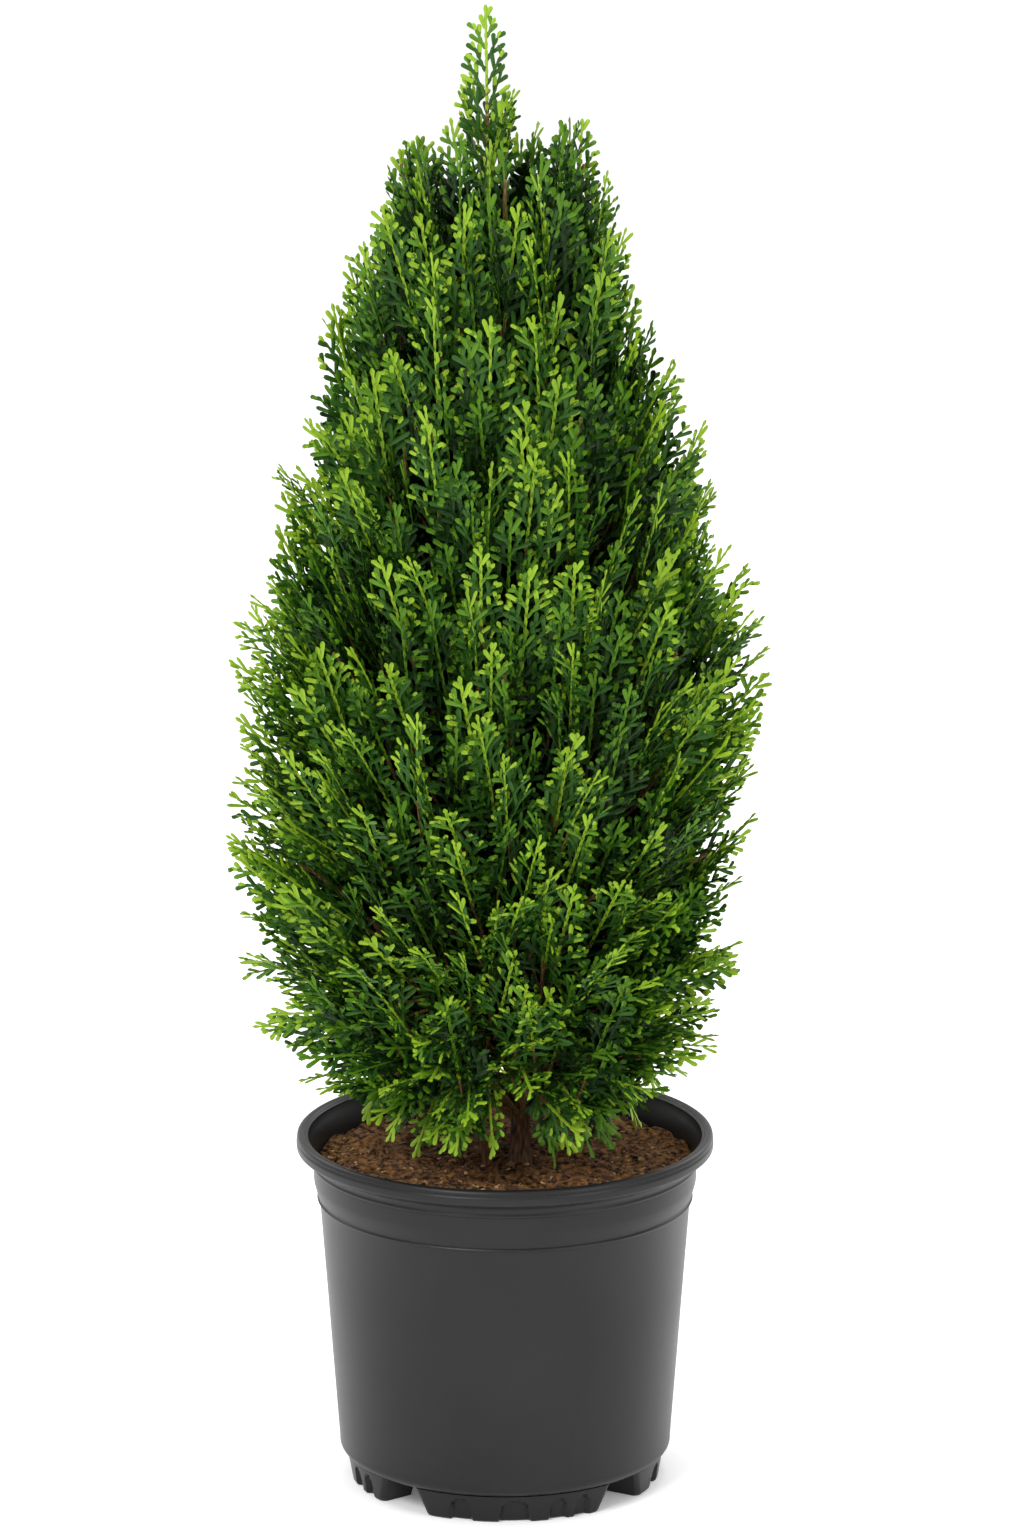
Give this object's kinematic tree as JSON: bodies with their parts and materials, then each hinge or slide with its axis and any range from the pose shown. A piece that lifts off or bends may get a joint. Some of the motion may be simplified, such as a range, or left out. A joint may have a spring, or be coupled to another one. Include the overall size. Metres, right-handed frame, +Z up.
{
  "type": "potted emerald green arborvitae",
  "caption": "Young conical evergreen with upright flat sprays on steep boughs, in a round black nursery pot filled with potting mix.",
  "frame": {"origin": "on the pot's axis, at the level ground that its legs stand on", "axes": "+Z up along the plant; -Y towards the viewer, so the side that the picture shows; +X to the viewer's right"},
  "size_m": [0.3614, 0.3557, 1],
  "materials": {
    "pot": "satin charcoal polypropylene",
    "soil": "damp bark and peat potting mix",
    "bark": "thin fibrous red-brown bark",
    "foliage": "satin scale leaves in flat sprays"
  },
  "bodies": {
    "root": {"pot": "pot", "soil": "soil", "trunk": "bark", "side_stem": "bark", "bough_low_1": "bark", "bough_low_2": "bark", "bough_low_3": "bark", "bough_low_4": "bark", "bough_low_5": "bark", "bough_low_7": "bark", "bough_middle_1": "bark", "bough_middle_2": "bark", "bough_middle_3": "bark", "bough_middle_4": "bark", "bough_middle_5": "bark", "bough_middle_6": "bark", "bough_middle_7": "bark", "mass_skirt_1": "foliage", "mass_skirt_2": "foliage", "mass_skirt_3": "foliage", "mass_skirt_4": "foliage", "mass_skirt_5": "foliage", "mass_skirt_6": "foliage", "mass_low_1": "foliage", "mass_low_2": "foliage", "mass_low_3": "foliage", "mass_low_4": "foliage", "mass_low_5": "foliage", "mass_low_6": "foliage", "mass_low_7": "foliage", "mass_middle_1": "foliage", "mass_middle_2": "foliage", "mass_middle_3": "foliage", "mass_middle_4": "foliage", "mass_middle_5": "foliage", "mass_middle_6": "foliage", "mass_middle_7": "foliage", "mass_upper_1": "foliage", "mass_upper_2": "foliage", "mass_upper_3": "foliage", "mass_upper_4": "foliage", "mass_upper_5": "foliage", "mass_upper_6": "foliage", "mass_top_1": "foliage", "mass_top_2": "foliage", "mass_top_3": "foliage", "mass_top_4": "foliage", "mass_leader": "foliage"}
  },
  "joints": []
}
